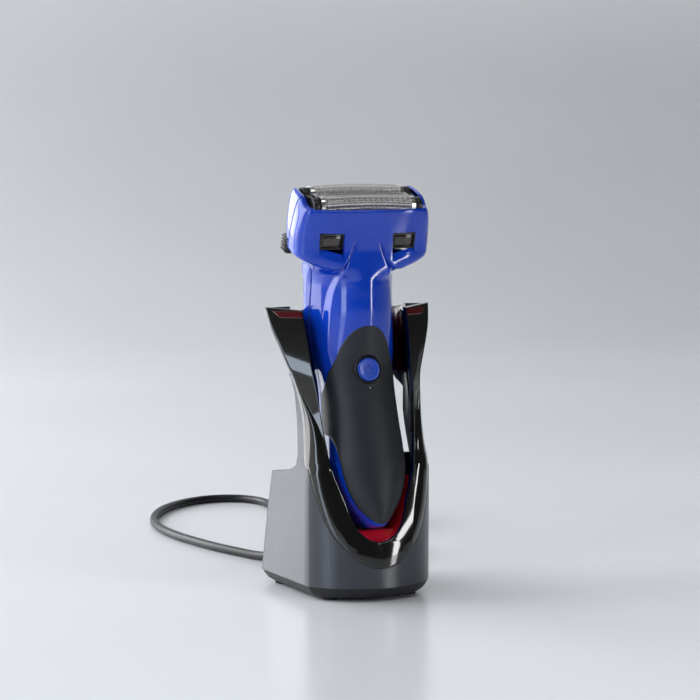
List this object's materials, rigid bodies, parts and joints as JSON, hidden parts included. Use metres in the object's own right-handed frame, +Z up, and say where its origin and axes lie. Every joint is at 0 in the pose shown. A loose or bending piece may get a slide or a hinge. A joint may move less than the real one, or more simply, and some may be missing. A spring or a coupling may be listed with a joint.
{
  "type": "electric foil shaver in charging stand",
  "caption": "Cordless foil shaver with a pop-up trimmer, standing in a charging cradle with its lead and mains adapter.",
  "frame": {"origin": "on the counter, under the middle of the stand's box", "axes": "+Z up, -Y the way the shaver faces, +X to the right seen from the front"},
  "size_m": [0.125, 0.3207, 0.188],
  "materials": {
    "shell_grey": "satin moulded dark blue-grey",
    "bezel_black": "piano black gloss",
    "liner_red": "gloss red",
    "base_black": "fine spark-eroded texture",
    "foot_rubber": "soft matt",
    "screw_steel": "plain",
    "contact_metal": "nickel plated",
    "cord_black": "smooth PVC, slight gloss",
    "body_blue": "deep glossy royal blue",
    "grip_rubber": "smooth elastomer, satin",
    "seal_rubber": "matt",
    "button_blue": "satin blue",
    "lamp_lens": "clear light pipe",
    "inner_plastic": "moulded",
    "battery_wrap": "shrink wrap",
    "board_green": "solder mask",
    "motor_steel": "sheet steel",
    "window_smoke": "smoked clear",
    "button_black": "satin moulded",
    "foil_steel": "perforated foil",
    "blade_steel": "ground"
  },
  "bodies": {
    "stand": {"stand_shell": "shell_grey", "stand_bezel": "bezel_black", "cradle_liner": "liner_red", "base_plate": "base_black", "stand_feet": "foot_rubber", "stand_screws": "screw_steel", "contact_block": "base_black", "contact_pins": "contact_metal", "cord_relief": "cord_black", "cord_tube": "cord_black", "cord_coil": "cord_black", "cord_tie": "cord_black", "adapter_relief": "cord_black", "adapter_body": "base_black", "adapter_pins": "contact_metal"},
    "handset": {"front_shell": "body_blue", "rear_shell": "body_blue", "grip_panel": "grip_rubber", "button_seal": "seal_rubber", "charge_lamp": "lamp_lens", "inner_chassis": "inner_plastic", "battery": "battery_wrap", "circuit_board": "board_green", "tact_switch": "inner_plastic", "socket_insert": "inner_plastic", "socket_pins": "contact_metal", "rear_screws": "screw_steel", "motor_stator": "motor_steel", "drive_seal": "seal_rubber", "hair_tray": "inner_plastic", "inlet_windows": "window_smoke", "release_springs": "screw_steel", "button_spring": "screw_steel"},
    "power_button": {"power_button": "button_blue"},
    "release_left": {"release_button_left": "button_black"},
    "release_right": {"release_button_right": "button_black"},
    "foil_cassette": {"foil_frame": "button_black", "foil_end_caps": "button_black"},
    "foil_front": {"foil_front": "foil_steel"},
    "foil_rear": {"foil_rear": "foil_steel"},
    "slit_foil": {"slit_foil": "foil_steel"},
    "armature": {"motor_armature": "motor_steel", "drive_pin": "motor_steel", "blade_springs": "screw_steel"},
    "counterweight": {"counterweight": "motor_steel"},
    "blade_front": {"inner_blade_front": "blade_steel"},
    "blade_rear": {"inner_blade_rear": "blade_steel"},
    "slit_cutter": {"slit_cutter": "blade_steel"},
    "trimmer": {"trimmer_housing": "button_black", "trimmer_comb": "blade_steel", "trimmer_pin": "screw_steel"},
    "trimmer_blade": {"trimmer_blade": "blade_steel"}
  },
  "joints": [
    {"name": "handset_lift", "type": "slide", "parent": "stand", "child": "handset", "axis": [0, 0.213, 0.977], "range_m": [0, 0.14]},
    {"name": "power_press", "type": "slide", "parent": "handset", "child": "power_button", "axis": [0, 0.977, -0.213], "range_m": [0, 0.0006], "stiffness_N_per_m": 600},
    {"name": "release_left_press", "type": "slide", "parent": "handset", "child": "release_left", "axis": [1, 0, 0], "range_m": [0, 0.0014], "stiffness_N_per_m": 500},
    {"name": "release_right_press", "type": "slide", "parent": "handset", "child": "release_right", "axis": [-1, 0, 0], "range_m": [0, 0.0014], "stiffness_N_per_m": 500},
    {"name": "cassette_lift", "type": "slide", "parent": "handset", "child": "foil_cassette", "axis": [0, -0.3156, 0.9489], "range_m": [0, 0.03]},
    {"name": "foil_front_float", "type": "slide", "parent": "foil_cassette", "child": "foil_front", "axis": [0, 0.3156, -0.9489], "range_m": [0, 0.001], "stiffness_N_per_m": 300},
    {"name": "foil_rear_float", "type": "slide", "parent": "foil_cassette", "child": "foil_rear", "axis": [0, 0.3156, -0.9489], "range_m": [0, 0.001], "stiffness_N_per_m": 300},
    {"name": "slit_float", "type": "slide", "parent": "foil_cassette", "child": "slit_foil", "axis": [0, 0.3156, -0.9489], "range_m": [0, 0.001], "stiffness_N_per_m": 300},
    {"name": "drive_stroke", "type": "slide", "parent": "handset", "child": "armature", "axis": [1, 0, 0], "range_m": [-0.0012, 0.0012], "stiffness_N_per_m": 900},
    {"name": "counter_stroke", "type": "slide", "parent": "handset", "child": "counterweight", "axis": [1, 0, 0], "range_m": [-0.0012, 0.0012]},
    {"name": "blade_front_float", "type": "slide", "parent": "armature", "child": "blade_front", "axis": [0, 0.3156, -0.9489], "range_m": [0, 0.001]},
    {"name": "blade_rear_float", "type": "slide", "parent": "armature", "child": "blade_rear", "axis": [0, 0.3156, -0.9489], "range_m": [0, 0.001]},
    {"name": "slit_cutter_float", "type": "slide", "parent": "armature", "child": "slit_cutter", "axis": [0, 0.3156, -0.9489], "range_m": [0, 0.001]},
    {"name": "trimmer_hinge", "type": "hinge", "parent": "handset", "child": "trimmer", "pos_m": [0, 0.013, 0.1347], "axis": [-1, 0, 0], "range_deg": [0, 80]},
    {"name": "trimmer_stroke", "type": "slide", "parent": "trimmer", "child": "trimmer_blade", "axis": [1, 0, 0], "range_m": [-0.0008, 0.0008]}
  ],
  "couplings": [
    {"joint": "counter_stroke", "follows": "drive_stroke", "ratio": -1},
    {"joint": "blade_front_float", "follows": "foil_front_float", "ratio": 1},
    {"joint": "blade_rear_float", "follows": "foil_rear_float", "ratio": 1},
    {"joint": "slit_cutter_float", "follows": "slit_float", "ratio": 1}
  ]
}
